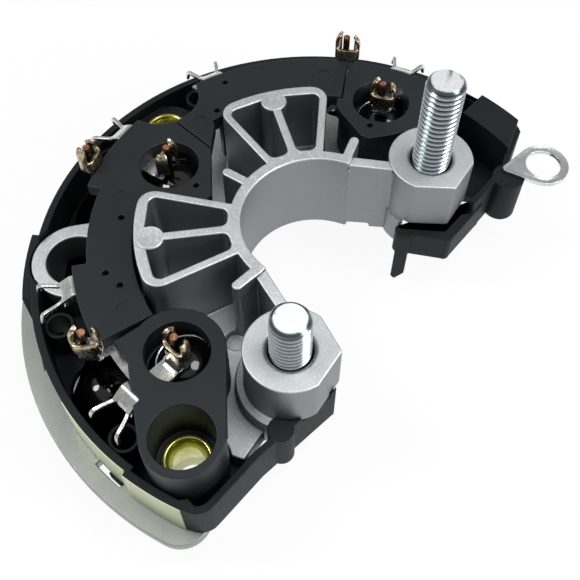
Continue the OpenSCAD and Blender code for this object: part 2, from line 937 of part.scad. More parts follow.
// A press-fit diode stands on its seat plane at z = 0, with its cup reaching down by the seat's depth
module diode_cup(depth) {
    color("gainsboro")
        difference() {
            slab(-depth, cup_rim_h)
                circle(r = cup_r - press_gap);
            slab(0, cup_rim_h + 1)
                circle(r = seal_r);
        }
}

module diode_seal() {
    ball_r = (seal_r * seal_r + dome_h * dome_h) / (2 * dome_h);
    color("black")
        difference() {
            union() {
                slab(0, cup_rim_h)
                    circle(r = seal_r);
                intersection() {
                    translate([0, 0, cup_rim_h + dome_h - ball_r])
                        sphere(r = ball_r);
                    slab(cup_rim_h, cup_rim_h + dome_h)
                        circle(r = seal_r);
                }
            }
            slab(-1, cup_rim_h + dome_h + 1)
                circle(d = lead_d);
        }
}

module diode_lead(top) {
    color("peru")
        slab(0, top)
            circle(d = lead_d);
}

module positive_diode_cup(i) {
    translate(concat(positive_at(i), sink_top))
        diode_cup(sink_floor_t);
}

module positive_diode_seal(i) {
    translate(concat(positive_at(i), sink_top))
        diode_seal();
}

module positive_diode_lead(i) {
    translate(concat(positive_at(i), sink_top))
        diode_lead(lead_top - sink_top);
}

module negative_diode_cup(i) {
    translate(concat(negative_at(i), plate_t))
        diode_cup(plate_t);
}

module negative_diode_seal(i) {
    translate(concat(negative_at(i), plate_t))
        diode_seal();
}

module negative_diode_lead(i) {
    translate(concat(negative_at(i), plate_t))
        diode_lead(lead_top - plate_t);
}

module stud(length) {
    color("lightsteelblue") {
        translate([0, 0, boss_bottom])
            cylinder(d = head_flats * hex_corner, h = head_h, $fn = 6);
        slab(boss_bottom, boss_top)
            circle(d = stud_d - 2 * shank_step);
        slab(boss_top, boss_top + length - stud_chamfer)
            circle(d = stud_d);
        translate([0, 0, boss_top + length - stud_chamfer])
            cylinder(d1 = stud_d, d2 = stud_d - 2 * stud_chamfer, h = stud_chamfer);
    }
}

module long_stud() {
    translate(boss_at)
        stud(long_stud_l);
}

module short_stud() {
    mirror([1, 0, 0])
        translate(boss_at)
            stud(short_stud_l);
}

module rivet_eyelet(i) {
    color("goldenrod")
        translate(rivet_at(i))
            difference() {
                union() {
                    slab(0, rivet_seat_z + rivet_flange_t)
                        circle(r = rivet_r);
                    slab(rivet_seat_z, rivet_seat_z + rivet_flange_t)
                        circle(r = rivet_flange_r);
                }
                slab(-1, rivet_seat_z + rivet_flange_t + 1)
                    circle(r = rivet_hole_r);
            }
}

module ring_terminal() {
    color("silver")
        slab(skirt_top, skirt_top + ring_terminal_t)
            difference() {
                link(tongue_root, tongue_r, ring_center, ring_r);
                translate(ring_center)
                    circle(r = ring_hole_r);
            }
}

negative_plate();
positive_heat_sink();
carrier_base();
terminal_block_1();
terminal_block_2();
terminal_block_3();
terminal_block_4();
positive_diode_cup(0);  // positive_diode_cup_1
positive_diode_cup(1);  // positive_diode_cup_2
positive_diode_cup(2);  // positive_diode_cup_3
positive_diode_seal(0);  // positive_diode_seal_1
positive_diode_seal(1);  // positive_diode_seal_2
positive_diode_seal(2);  // positive_diode_seal_3
positive_diode_lead(0);  // positive_diode_lead_1
positive_diode_lead(1);  // positive_diode_lead_2
positive_diode_lead(2);  // positive_diode_lead_3
negative_diode_cup(0);  // negative_diode_cup_1
negative_diode_cup(1);  // negative_diode_cup_2
negative_diode_cup(2);  // negative_diode_cup_3
negative_diode_seal(0);  // negative_diode_seal_1
negative_diode_seal(1);  // negative_diode_seal_2
negative_diode_seal(2);  // negative_diode_seal_3
negative_diode_lead(0);  // negative_diode_lead_1
negative_diode_lead(1);  // negative_diode_lead_2
negative_diode_lead(2);  // negative_diode_lead_3
phase_strip(0);  // phase_strip_1
phase_strip(1);  // phase_strip_2
phase_strip(2);  // phase_strip_3
long_stud();
short_stud();
rivet_eyelet(0);  // rivet_eyelet_1
rivet_eyelet(1);  // rivet_eyelet_2
ring_terminal();
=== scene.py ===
import math

import bmesh
import bpy
from mathutils import Matrix, Vector


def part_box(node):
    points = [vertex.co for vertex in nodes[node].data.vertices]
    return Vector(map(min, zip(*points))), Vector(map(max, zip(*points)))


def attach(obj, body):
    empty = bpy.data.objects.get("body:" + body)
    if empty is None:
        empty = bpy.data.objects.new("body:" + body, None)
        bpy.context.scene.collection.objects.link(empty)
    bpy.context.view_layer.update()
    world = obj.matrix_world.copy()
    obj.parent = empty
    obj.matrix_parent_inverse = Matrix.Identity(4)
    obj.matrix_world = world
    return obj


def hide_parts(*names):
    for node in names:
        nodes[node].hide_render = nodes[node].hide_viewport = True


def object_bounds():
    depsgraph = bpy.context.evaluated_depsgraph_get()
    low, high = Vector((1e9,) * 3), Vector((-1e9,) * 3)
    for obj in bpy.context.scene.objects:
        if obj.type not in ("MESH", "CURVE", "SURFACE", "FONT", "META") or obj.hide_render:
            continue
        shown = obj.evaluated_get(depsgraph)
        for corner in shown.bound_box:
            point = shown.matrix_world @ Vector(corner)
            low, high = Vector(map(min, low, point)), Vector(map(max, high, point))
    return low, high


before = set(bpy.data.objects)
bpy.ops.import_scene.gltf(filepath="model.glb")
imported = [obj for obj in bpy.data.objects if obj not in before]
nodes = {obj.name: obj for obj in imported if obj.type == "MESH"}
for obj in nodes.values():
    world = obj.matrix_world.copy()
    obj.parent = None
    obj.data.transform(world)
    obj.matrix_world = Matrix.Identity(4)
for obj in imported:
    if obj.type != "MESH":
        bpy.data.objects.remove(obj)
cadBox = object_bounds()
mm = 0.001  # sizes are written in millimetres, turns in degrees
threes = range(1, 4)
origin = (0.0, 0.0, 0.0)
upward = (0.0, 0.0, 1.0)
white = (1.0, 1.0, 1.0)
black = (0.0, 0.0, 0.0)
positivePlaces = ((38.8, 169.5), (36.0, 94.5), (38.8, 10.5))  # radius and turn of the casting's diodes
negativePlaces = ((51.4, 155.0), (51.4, 103.5), (51.4, 24.7))  # and of the plate's

scene = bpy.context.scene
scene.view_settings.view_transform = "Standard"
bpy.ops.object.select_all(action="DESELECT")


# camera
cameraSet = {
    "target": (-3.52, 4.52, 0.0),  # in the part's own frame
    "azimuth": -57.0,
    "elevation": 57.6,
    "distance": 190.4,
    "lens": 52.34,
    "sensor": 36.0,
    "nearest": 5.0,
}


def addCamera(s):
    a, e = math.radians(s["azimuth"]), math.radians(s["elevation"])
    back = Vector((math.sin(a) * math.cos(e), -math.cos(a) * math.cos(e), math.sin(e)))
    bpy.ops.object.camera_add(location=(Vector(s["target"]) + s["distance"] * back) * mm)
    cam = bpy.context.object
    cam.name = "photoCamera"
    cam.rotation_euler = back.to_track_quat("Z", "Y").to_euler()
    cam.data.lens = s["lens"]
    cam.data.sensor_width = s["sensor"]
    cam.data.clip_start = s["nearest"] * mm
    scene.camera = cam


addCamera(cameraSet)
print("camera set")


# node helpers for the finishes
def newMaterial(name):
    mat = bpy.data.materials.new(name)
    mat.use_nodes = True
    return mat, mat.node_tree, mat.node_tree.nodes["Principled BSDF"]


def addNoise(tree, vector, scale, detail, rough):
    noise = tree.nodes.new("ShaderNodeTexNoise")
    noise.inputs["Scale"].default_value = scale
    noise.inputs["Detail"].default_value = detail
    noise.inputs["Roughness"].default_value = rough
    tree.links.new(vector, noise.inputs["Vector"])
    return noise.outputs["Fac"]


def addRamp(tree, fac, stops):
    ramp = tree.nodes.new("ShaderNodeValToRGB")
    while len(ramp.color_ramp.elements) < len(stops):
        ramp.color_ramp.elements.new(0.5)
    for element, (place, colour) in zip(ramp.color_ramp.elements, stops):
        element.position = place
        element.color = (*colour, 1.0)
    tree.links.new(fac, ramp.inputs["Fac"])
    return ramp.outputs["Color"]


def addRange(tree, value, fromSpan, toSpan=(0.0, 1.0)):
    span = tree.nodes.new("ShaderNodeMapRange")
    for socket, end in zip(("From Min", "From Max", "To Min", "To Max"), (*fromSpan, *toSpan)):
        span.inputs[socket].default_value = end
    tree.links.new(value, span.inputs["Value"])
    return span.outputs["Result"]


def addBump(tree, height, strength, distance, normal=None):
    bump = tree.nodes.new("ShaderNodeBump")
    bump.inputs["Strength"].default_value = strength
    bump.inputs["Distance"].default_value = distance
    tree.links.new(height, bump.inputs["Height"])
    if normal:
        tree.links.new(normal, bump.inputs["Normal"])
    return bump.outputs["Normal"]


def addMix(tree, fac, first, second):
    mix = tree.nodes.new("ShaderNodeMix")
    mix.data_type = "RGBA"
    tree.links.new(fac, mix.inputs["Factor"])
    for side, colour in (("A", first), ("B", second)):
        if isinstance(colour, tuple):
            mix.inputs[side].default_value = (*colour, 1.0)
        else:
            tree.links.new(colour, mix.inputs[side])
    return mix.outputs["Result"]


def addUpright(tree, vector, span):  # 0 to 1 over the span, by the vector's third value
    parts = tree.nodes.new("ShaderNodeSeparateXYZ")
    tree.links.new(vector, parts.inputs["Vector"])
    return addRange(tree, parts.outputs["Z"], span)


def addVector(tree, operation, vector, second=None):
    step = tree.nodes.new("ShaderNodeVectorMath")
    step.operation = operation
    tree.links.new(vector, step.inputs[0])
    if second:
        step.inputs[1].default_value = second
    return step.outputs["Value" if operation == "LENGTH" else "Vector"]


def addReach(tree, coords, axis, span):  # by the distance from an axis that stands at both +x and -x
    folded = addVector(tree, "ABSOLUTE", coords)
    offset = addVector(tree, "SUBTRACT", folded, (axis[0] * mm, axis[1] * mm, 0.0))
    flat = addVector(tree, "MULTIPLY", offset, (1.0, 1.0, 0.0))
    return addRange(tree, addVector(tree, "LENGTH", flat), [r * mm for r in span])


def makeFinish(s, shared):
    mat, tree, shader = newMaterial(s["name"])
    source = tree.nodes.new("ShaderNodeTexCoord")
    coords, facing = source.outputs["Object"], source.outputs["Normal"]
    shader.inputs["Metallic"].default_value = s.get("metallic", 0.0)
    shader.inputs["IOR"].default_value = s.get("ior", 1.5)
    cloud = addNoise(tree, coords, s["cloudScale"], shared["cloudDetail"], shared["noiseRough"])
    grain = addNoise(tree, coords, s["grainScale"], shared["grainDetail"], shared["noiseRough"])
    colour = addRamp(tree, cloud, list(zip(shared["cloudSpan"], (s["dark"], s["light"]))))
    rough = addRange(tree, grain, shared["grainSpan"], s["rough"])
    if s.get("speck"):  # fine paler specks
        colour = addMix(tree, addRange(tree, grain, s["speckSpan"]), colour, s["speck"])
    if s.get("wall"):  # painted shade: upright walls coloured darker than the blasted tops
        colour = addMix(tree, addUpright(tree, facing, shared["wallShadeSpan"]), s["wall"], colour)
    if s.get("groove"):  # thread roots coloured dark: partly grime, partly painted shade in the grooves
        reach = addReach(tree, coords, s["grooveAxis"], s["grooveSpan"])
        colour = addMix(tree, addRamp(tree, reach, shared["rootStops"]), s["groove"], colour)
    if s.get("tint"):  # from a level up: heat tint, or the plate's standing band, painted pale (painted reflection)
        height = addUpright(tree, coords, [level * mm for level in s["tintSpan"]])
        patches = addNoise(tree, coords, s["tintScale"], shared["tintDetail"], shared["noiseRough"])
        colour = addMix(tree, height, colour, addRamp(tree, patches, s["tint"]))
    if s.get("crown"):  # painted highlight: level faces coloured paler, and made duller
        level = addUpright(tree, facing, shared["crownSpan"])
        colour = addMix(tree, level, colour, s["crown"])
        dull = tree.nodes.new("ShaderNodeMath")  # adds to the roughness
        tree.links.new(rough, dull.inputs[0])
        tree.links.new(addRange(tree, level, (0.0, 1.0), (0.0, s["crownRough"])), dull.inputs[1])
        rough = dull.outputs[0]
    tree.links.new(colour, shader.inputs["Base Color"])
    tree.links.new(rough, shader.inputs["Roughness"])
    normal = addBump(tree, grain, s["bump"], s["depth"] * mm)
    if s.get("wave"):  # a slow unevenness under the grain
        normal = addBump(tree, cloud, s["wave"], s["waveDepth"] * mm, normal)
    tree.links.new(normal, shader.inputs["Normal"])
    return mat


finishSet = {  # what the finishes share
    "cloudDetail": 4.0,
    "grainDetail": 2.0,
    "tintDetail": 3.0,
    "noiseRough": 0.6,
    "cloudSpan": (0.32, 0.68),
    "grainSpan": (0.3, 0.7),
    # painted shade: walls turn darker as the normal's rise falls
    "wallShadeSpan": (0.1, 0.8),
    # painted highlight: faces that face up get the paler tip colour
    "crownSpan": (0.95, 0.99),
    "rootStops": [(0.02, white), (0.10, black), (0.55, black), (0.88, white)],  # flat tip, roots, crests
}
finishes = {
    "plate": {
        "name": "plateSatin", "metallic": 1.0, "dark": (0.30, 0.32, 0.30), "light": (0.38, 0.40, 0.375),
        "cloudScale": 70.0, "grainScale": 1900.0, "rough": (0.42, 0.56), "bump": 0.22, "depth": 0.02,
        # painted reflection: the band above the plate is coloured paler than the plate
        "tintSpan": (2.7, 3.1), "tintScale": 90.0,
        "tint": [(0.35, (0.54, 0.57, 0.40)), (0.65, (0.66, 0.68, 0.50))],
    },
    "casting": {
        "name": "castBlasted", "metallic": 1.0, "dark": (0.56, 0.58, 0.58), "light": (0.68, 0.70, 0.70),
        "cloudScale": 120.0, "grainScale": 3400.0, "rough": (0.42, 0.58), "bump": 0.45, "depth": 0.05,
        "speck": (0.84, 0.86, 0.86), "speckSpan": (0.52, 0.70), "wave": 0.25, "waveDepth": 0.25,
        # painted shade: colour of the upright walls, darker than the lit tops
        "wall": (0.285, 0.295, 0.31),
    },
    "carrier": {
        "name": "carrierBlack", "ior": 1.33, "dark": (0.0035, 0.005, 0.006), "light": (0.007, 0.0095, 0.0115),
        "cloudScale": 90.0, "grainScale": 2200.0, "rough": (0.50, 0.64), "bump": 0.25, "depth": 0.03,
    },
    "block": {
        "name": "blockSlate", "ior": 1.40, "dark": (0.0075, 0.0105, 0.0135), "light": (0.0105, 0.014, 0.0175),
        "cloudScale": 80.0, "grainScale": 2400.0, "rough": (0.40, 0.52), "bump": 0.2, "depth": 0.02,
    },
    "cup": {
        "name": "cupPlated", "metallic": 1.0, "dark": (0.44, 0.44, 0.45), "light": (0.62, 0.62, 0.62),
        "cloudScale": 300.0, "grainScale": 2500.0, "rough": (0.16, 0.30), "bump": 0.15, "depth": 0.02,
    },
    "seal": {
        "name": "sealResin", "ior": 1.6, "dark": (0.002, 0.002, 0.0025), "light": (0.004, 0.004, 0.005),
        "cloudScale": 200.0, "grainScale": 1500.0, "rough": (0.05, 0.12), "bump": 0.06, "depth": 0.03,
    },
    "lead": {
        "name": "leadCopper", "metallic": 1.0, "dark": (0.018, 0.014, 0.011), "light": (0.05, 0.036, 0.026),
        "cloudScale": 500.0, "grainScale": 3000.0, "rough": (0.30, 0.48), "bump": 0.2, "depth": 0.02,
        "tintSpan": (27.0, 27.7), "tintScale": 1100.0,
        "tint": [(0.35, (0.26, 0.10, 0.05)), (0.65, (0.62, 0.32, 0.20))],
    },
    "strip": {
        "name": "stripTinned", "metallic": 1.0, "dark": (0.52, 0.53, 0.51), "light": (0.86, 0.86, 0.83),
        "cloudScale": 400.0, "grainScale": 2600.0, "rough": (0.18, 0.36), "bump": 0.2, "depth": 0.03,
        "wave": 0.3, "waveDepth": 0.12, "tintSpan": (21.8, 23.4), "tintScale": 900.0,
        "tint": [(0.30, (0.13, 0.09, 0.055)), (0.42, (0.30, 0.235, 0.15)),
                 (0.55, (0.56, 0.48, 0.34)), (0.70, (0.40, 0.37, 0.33))],
    },
    "stud": {
        "name": "studZinc", "metallic": 1.0, "dark": (0.55, 0.64, 0.69), "light": (0.74, 0.82, 0.86),
        "cloudScale": 420.0, "grainScale": 2600.0, "rough": (0.16, 0.30), "bump": 0.15, "depth": 0.02,
        # root colour: partly grime, partly painted shade
        "groove": (0.13, 0.155, 0.17), "grooveAxis": (27.4, 11.07), "grooveSpan": (3.1, 4.0),
        # painted highlight: paler colour of the level tip faces
        "crown": (0.94, 0.95, 0.96), "crownRough": 0.3,
    },
    "rivet": {
        "name": "rivetYellow", "metallic": 0.85, "dark": (0.40, 0.39, 0.07), "light": (0.66, 0.66, 0.22),
        "cloudScale": 240.0, "grainScale": 2600.0, "rough": (0.12, 0.26), "bump": 0.12, "depth": 0.02,
    },
    "ring": {
        "name": "ringTinned", "metallic": 1.0, "dark": (0.58, 0.59, 0.60), "light": (0.78, 0.79, 0.79),
        "cloudScale": 240.0, "grainScale": 2600.0, "rough": (0.16, 0.30), "bump": 0.12, "depth": 0.02,
    },
}
made = {key: makeFinish(s, finishSet) for key, s in finishes.items()}
print("finishes made")


# modelling helpers
weldGap = 0.002  # points this close are merged
nodeGap = 0.001  # the same in a copy of a CAD node
cutGap = 0.0001  # points this close to a cutting plane lie on it
nearby = 0.01  # points this close to a level are at it


def deselect():
    bpy.ops.object.select_all(action="DESELECT")


def pickOnly(obj):
    deselect()
    obj.select_set(True)
    bpy.context.view_layer.objects.active = obj


def toEdit(obj):
    pickOnly(obj)
    bpy.ops.object.mode_set(mode="EDIT")


def toObject():
    bpy.ops.object.mode_set(mode="OBJECT")


def applyModifier(obj, kind, **settings):
    pickOnly(obj)
    mod = obj.modifiers.new(kind.lower(), kind)
    for key, value in settings.items():
        setattr(mod, key, value)
    bpy.ops.object.modifier_apply(modifier=mod.name)


def breakEdges(obj, width, segments, angle):
    applyModifier(obj, "BEVEL", width=width * mm, segments=segments, limit_method="ANGLE",
                  angle_limit=math.radians(angle))


def tidyMesh(obj, gap=weldGap):
    toEdit(obj)
    bpy.ops.mesh.select_all(action="SELECT")
    bpy.ops.mesh.remove_doubles(threshold=gap * mm)
    bpy.ops.mesh.delete_loose()  # a spun profile leaves an edge on its axis
    bpy.ops.mesh.select_all(action="SELECT")
    bpy.ops.mesh.normals_make_consistent(inside=False)
    toObject()


def extrude(step):
    bpy.ops.mesh.extrude_region_move(TRANSFORM_OT_translate={"value": Vector(step) * mm})


def drawLine(name, points):  # leaves the object in edit mode
    deselect()
    bpy.ops.mesh.primitive_plane_add(size=mm)
    obj = bpy.context.object
    obj.name = name
    bpy.ops.object.mode_set(mode="EDIT")
    bpy.ops.mesh.select_all(action="SELECT")
    bpy.ops.mesh.merge(type="CENTER")  # one point to draw from
    bpy.ops.transform.translate(value=Vector(points[0]) * mm)
    for last, point in zip(points, points[1:]):
        extrude(Vector(point) - Vector(last))
    bpy.ops.mesh.select_all(action="SELECT")
    return obj


def drawLoop(name, points):
    obj = drawLine(name, points + points[:1])
    bpy.ops.mesh.remove_doubles(threshold=weldGap * mm)
    return obj


def isAt(level, *points):
    return all(abs(point.z - level) < nearby for point in points)


def selectEdges(obj, test):  # test is given the two ends in millimetres
    mesh = bmesh.from_edit_mesh(obj.data)
    for edge in mesh.edges:
        edge.select = False
    for edge in mesh.edges:
        ends = [v.co / mm for v in edge.verts]
        if test(*ends):
            edge.select = True
    mesh.select_flush_mode()
    bmesh.update_edit_mesh(obj.data)


def selectFaces(obj, test):  # test is given the middle in millimetres and the normal
    mesh = bmesh.from_edit_mesh(obj.data)
    for face in mesh.faces:
        face.select = False
    for face in mesh.faces:
        if test(face.calc_center_median() / mm, face.normal):
            face.select = True
    mesh.select_flush_mode()
    bmesh.update_edit_mesh(obj.data)


def spinProfile(name, profile, steps, place):  # profile of radius and level, place in metres
    obj = drawLoop(name, [(r, 0.0, z) for r, z in profile])
    bpy.ops.mesh.spin(steps=steps, angle=2 * math.pi, center=origin, axis=upward)
    bpy.ops.mesh.select_all(action="SELECT")
    bpy.ops.transform.translate(value=place)
    toObject()
    tidyMesh(obj)
    return obj


def copyNode(name, node, gap=nodeGap):
    piece = bpy.data.objects.new(name, nodes[node].data.copy())
    scene.collection.objects.link(piece)
    piece.data.materials.clear()
    tidyMesh(piece, gap)
    return piece


def cutLevel(obj, level, keep):
    toEdit(obj)
    bpy.ops.mesh.select_all(action="SELECT")
    bpy.ops.mesh.bisect(plane_co=(0, 0, level * mm), plane_no=upward, use_fill=True, threshold=cutGap * mm,
                        clear_inner=keep == "above", clear_outer=keep == "below")
    toObject()


def joinPieces(first, others):
    pickOnly(first)
    for obj in others:
        obj.select_set(True)
    bpy.ops.object.join()


def placedCopy(pattern, name, place, turn):
    piece = pattern.copy()
    piece.name = name
    piece.data = pattern.data.copy()
    scene.collection.objects.link(piece)
    turned = Matrix.Rotation(math.radians(turn), 4, "Z")
    piece.data.transform(Matrix.Translation(Vector(place) * mm) @ turned)
    return piece


def finishPiece(piece, node, mat, angle):
    piece.data.materials.clear()
    piece.data.materials.append(mat)
    pickOnly(piece)
    bpy.ops.object.shade_smooth_by_angle(angle=math.radians(angle))
    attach(piece, "root")
    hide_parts(node)
    print("made", piece.name)


def polar(r, turn):
    return Vector((r * math.cos(math.radians(turn)), r * math.sin(math.radians(turn)), 0.0))


def middle(node):
    low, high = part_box(node)
    return (Vector(low) + Vector(high)) / 2 / mm


# threaded studs
studSet = {
    "nodes": {"long_stud": "longStud", "short_stud": "shortStud"},
    "seat": 25.0,  # level of the bosses' tops
    "sunk": 3.0,  # how far the thread runs down into the boss
    "lap": 0.1,  # of the shank over the thread's foot
    "radius": 4.0,
    "pitch": 1.25,
    "tooth": ((0.62, 0.0), (0.62, 0.2), (0.05, 0.53), (0.0, 0.58),  # depth, and share of the pitch
              (0.0, 0.64), (0.05, 0.69), (0.62, 1.0)),
    "runIn": 1.5,  # turns cut off below the foot
    "steps": 40,
    "chamfer": 1.0,
    "rodSteps": 80,
    "rodSpare": 1.0,
    "smooth": 28.0,
    "slot": "zinc_steel",
}


def addRod(s, foot, top):  # the thread's outline with a chamfered tip
    deselect()
    length = top - foot + s["rodSpare"]
    bpy.ops.mesh.primitive_cylinder_add(vertices=s["rodSteps"], radius=(s["radius"] + nearby) * mm,
                                        depth=length * mm, location=(0, 0, (top - length / 2) * mm))
    rod = bpy.context.object
    bpy.ops.object.transform_apply(location=True)
    toEdit(rod)
    selectEdges(rod, lambda a, b: isAt(top, a, b))
    bpy.ops.mesh.bevel(offset=s["chamfer"] * mm, segments=1, affect="EDGES")
    toObject()
    return rod


def addThread(s, name, centre, top):
    pitch, steps = s["pitch"], s["steps"]
    foot = s["seat"] - s["sunk"]
    start = foot - s["runIn"] * pitch
    thread = drawLine(name, [(s["radius"] - deep, 0.0, start + share * pitch) for deep, share in s["tooth"]])
    toObject()
    applyModifier(thread, "SCREW", axis="Z", angle=2 * math.pi, screw_offset=pitch * mm, steps=steps,
                  render_steps=steps, iterations=math.ceil((top - start) / pitch) + 1)
    tidyMesh(thread)
    cutLevel(thread, foot, "above")
    cutLevel(thread, top, "below")
    rod = addRod(s, foot, top)
    applyModifier(thread, "BOOLEAN", operation="INTERSECT", solver="EXACT", object=rod)
    bpy.data.objects.remove(rod)
    tidyMesh(thread, 2 * weldGap)
    thread.data.transform(Matrix.Translation(Vector((centre.x, centre.y, 0.0)) * mm))
    return thread


def addStud(s, node, name):
    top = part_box(node)[1][2] / mm
    thread = addThread(s, name + "Thread", middle(node), top)
    stud = copyNode(name, node)
    cutLevel(stud, s["seat"] - s["sunk"] + s["lap"], "below")  # shank and head, below the thread
    joinPieces(stud, [thread])
    finishPiece(stud, node, made["stud"], s["smooth"])


for node, name in studSet["nodes"].items():
    addStud(studSet, node, name)


# hollow rivets with a rolled rim
rivetSet = {
    "nodes": {"rivet_eyelet_1": "rivetLeft", "rivet_eyelet_2": "rivetRear"},
    "hole": 3.2,
    "tube": 3.9,
    "foot": (0.2, 0.25),  # chamfer at the lower end, width and height
    "neck": (0.1, 0.05),  # where the tube turns out under the rim
    "seat": 11.0,
    "rim": [(5.08, 11.02), (5.10, 11.3), (4.98, 11.65), (4.7, 11.92), (4.35, 12.0), (4.05, 11.9),
            (3.82, 11.6), (3.6, 11.1), (3.36, 10.4)],
    "throat": 9.4,  # below this the hole is straight
    "steps": 64,
    "smooth": 40.0,
    "slot": "yellow_zinc",
}


def addRivet(s, node, name):
    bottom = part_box(node)[0][2] / mm
    centre = middle(node)
    hole, tube, seat = s["hole"], s["tube"], s["seat"]
    footWide, footHigh = s["foot"]
    neckWide, neckHigh = s["neck"]
    profile = [(tube, bottom + footHigh), (tube, seat - neckHigh), (tube + neckWide, seat), *s["rim"],
               (hole, s["throat"]), (hole, bottom + footHigh), (hole + footWide, bottom),
               (tube - footWide, bottom)]
    rivet = spinProfile(name, profile, s["steps"], (centre.x * mm, centre.y * mm, 0.0))
    finishPiece(rivet, node, made["rivet"], s["smooth"])


for node, name in rivetSet["nodes"].items():
    addRivet(rivetSet, node, name)


# phase conductors: flat strips with forks round the diode leads and hooks for the stator wires
stripSet = {
    "positive": ((169.5, "footOut"), (94.5, "footOut"), (196.0, "footUnder")),  # turn of a fork's back, foot
    "negative": ((213.0, "footUnder"), (283.5, "footOut"), (204.7, "footOut")),
    "hookRadius": 51.4,
    "hookTurn": ((169.5, 138.5), (90.4,), (61.0, 9.5)),
    "levels": (18.55, 19.45),  # the flat strip is kept between these
    "thickness": 0.85,
    "edge": 0.14,
    "edgeSteps": 2,
    "edgeAngle": 50.0,
    "smooth": 45.0,
    "slot": "tinned_strip",
}
forkSet = {
    "half": [(-1.4, 1.6), (-1.0, 2.05), (-0.4, 2.34), (0.25, 2.45),  # half of the plan
             (0.85, 2.32), (1.25, 1.8), (1.35, 0.9), (1.35, 0.0)],
    "rows": (22.4, 23.4, 24.4, 25.2),
    "ears": ((1.0, 1.0, 1.02), (0.9, 0.96, 0.95),  # rise, then scale in x and y
             (0.6, 0.8, 0.84), (0.25, 0.7, 0.92)),
    "earSpan": (1.2, 0.9),  # an ear's edges lie below this x and beyond this y
    "sides": ((-1, 1.2), (1, 0.85)),  # one ear stands higher
    "footOut": ((0, 0, -1.2), (0.05, 0, -1.0), (0.3, 0, -0.65), (0.6, 0, -0.38), (0.8, 0, -0.17), (1.6, 0, 0)),
    "footUnder": ((0, 0, -1.2), (-0.1, 0, -0.9), (-0.5, 0, -0.65), (-0.8, 0, -0.45), (-1.2, 0, -0.2),
                  (-2.5, 0, 0)),
    "footFrom": 1.1,  # the foot's edges lie beyond this x
    "footWiden": (1.03, 1.03, 1.0, 1.0, 1.0, 1.0),
    "shift": 0.35,
}
hookSet = {
    "path": [(-3.0, 20.9), (-2.0, 21.5), (-1.3, 21.7), (-0.9, 21.55), (-0.1, 21.0), (0.9, 20.3), (1.45, 19.85)],
    "columns": (-2.35, -1.55, 1.55, 2.35),
    "arch": 0.5,  # faces with their middle within this y are cut out between the legs
    "legFrom": 1.0,
    "legs": ((0.6, 0.3, -0.15), (1.2, 0.5, -0.1), (1.4, 0.5, -0.15), (0.9, 0.25, -0.25), (0.25, 0.15, -0.9),
             (0.1, 0.2, -1.3)),
    "rounding": 2,
}


def thicken(sheet, s):
    applyModifier(sheet, "SOLIDIFY", thickness=s["thickness"] * mm, offset=0.0, use_even_offset=True)
    breakEdges(sheet, s["edge"], s["edgeSteps"], s["edgeAngle"])


def scaleAbout(x, y):
    bpy.ops.transform.resize(value=(x, y, 1.0), center_override=origin)


def addFork(s, foot, strip):
    outline = s["half"] + [(x, -y) for x, y in reversed(s["half"][:-1])]
    low, high = s["rows"][0], s["rows"][-1]
    fork = drawLine("forkPattern", [(x, y, low) for x, y in outline])
    for below, above in zip(s["rows"], s["rows"][1:]):
        extrude((0, 0, above - below))
    earX, earY = s["earSpan"]
    for side, tall in s["sides"]:
        selectEdges(fork, lambda a, b: isAt(high, a, b) and max(a.x, b.x) < earX
                    and min(a.y * side, b.y * side) > earY)
        for rise, thin, draw in s["ears"]:
            extrude((0, 0, rise * tall))
            scaleAbout(thin, draw)
    selectEdges(fork, lambda a, b: isAt(low, a, b) and min(a.x, b.x) > s["footFrom"])
    for step, widen in zip(s[foot], s["footWiden"]):
        extrude(step)
        scaleAbout(1.0, widen)
    bpy.ops.mesh.select_all(action="SELECT")
    bpy.ops.transform.translate(value=(0, s["shift"] * mm, 0))
    toObject()
    tidyMesh(fork)
    thicken(fork, strip)
    return fork


def addHook(s, strip):
    columns = s["columns"]
    hook = drawLine("hookPattern", [(x, columns[0], z) for x, z in s["path"]])
    for left, right in zip(columns, columns[1:]):
        extrude((0, right - left, 0))
    beforeZ, lastZ = s["path"][-2][1], s["path"][-1][1]
    selectFaces(hook, lambda m, n: m.z < beforeZ and abs(m.y) < s["arch"])
    bpy.ops.mesh.delete(type="FACE")
    for side in (-1, 1):
        selectEdges(hook, lambda a, b: isAt(lastZ, a, b) and min(a.y * side, b.y * side) > s["legFrom"])
        for x, y, z in s["legs"]:
            extrude((x, y * side, z))
    toObject()
    tidyMesh(hook)
    applyModifier(hook, "SUBSURF", levels=s["rounding"], render_levels=s["rounding"])
    thicken(hook, strip)
    return hook


def addStrips(s):
    forks = {foot: addFork(forkSet, foot, s) for foot in ("footOut", "footUnder")}
    hook = addHook(hookSet, s)
    for i in threes:
        node = f"phase_strip_{i}"
        strip = copyNode(f"phaseStrip{i}", node)
        cutLevel(strip, s["levels"][0], "above")
        cutLevel(strip, s["levels"][1], "below")
        pieces = []
        for places, ways in ((positivePlaces, s["positive"]), (negativePlaces, s["negative"])):
            back, foot = ways[i - 1]
            pieces.append(placedCopy(forks[foot], "fork", polar(*places[i - 1]), back))
        for turn in s["hookTurn"][i - 1]:
            pieces.append(placedCopy(hook, "hook", polar(s["hookRadius"], turn), turn))
        joinPieces(strip, pieces)
        finishPiece(strip, node, made["strip"], s["smooth"])
    for pattern in (*forks.values(), hook):
        bpy.data.objects.remove(pattern)


addStrips(stripSet)


# ring terminal with a raised rim
ringSet = {
    "rim": 0.55,
    "sink": 0.22,
    "flat": 1.0,  # faces that meet at less than this become one
    "edge": 0.16,
    "edgeSteps": 3,
    "edgeAngle": 25.0,
    "smooth": 40.0,
    "slot": "ring_metal",
}


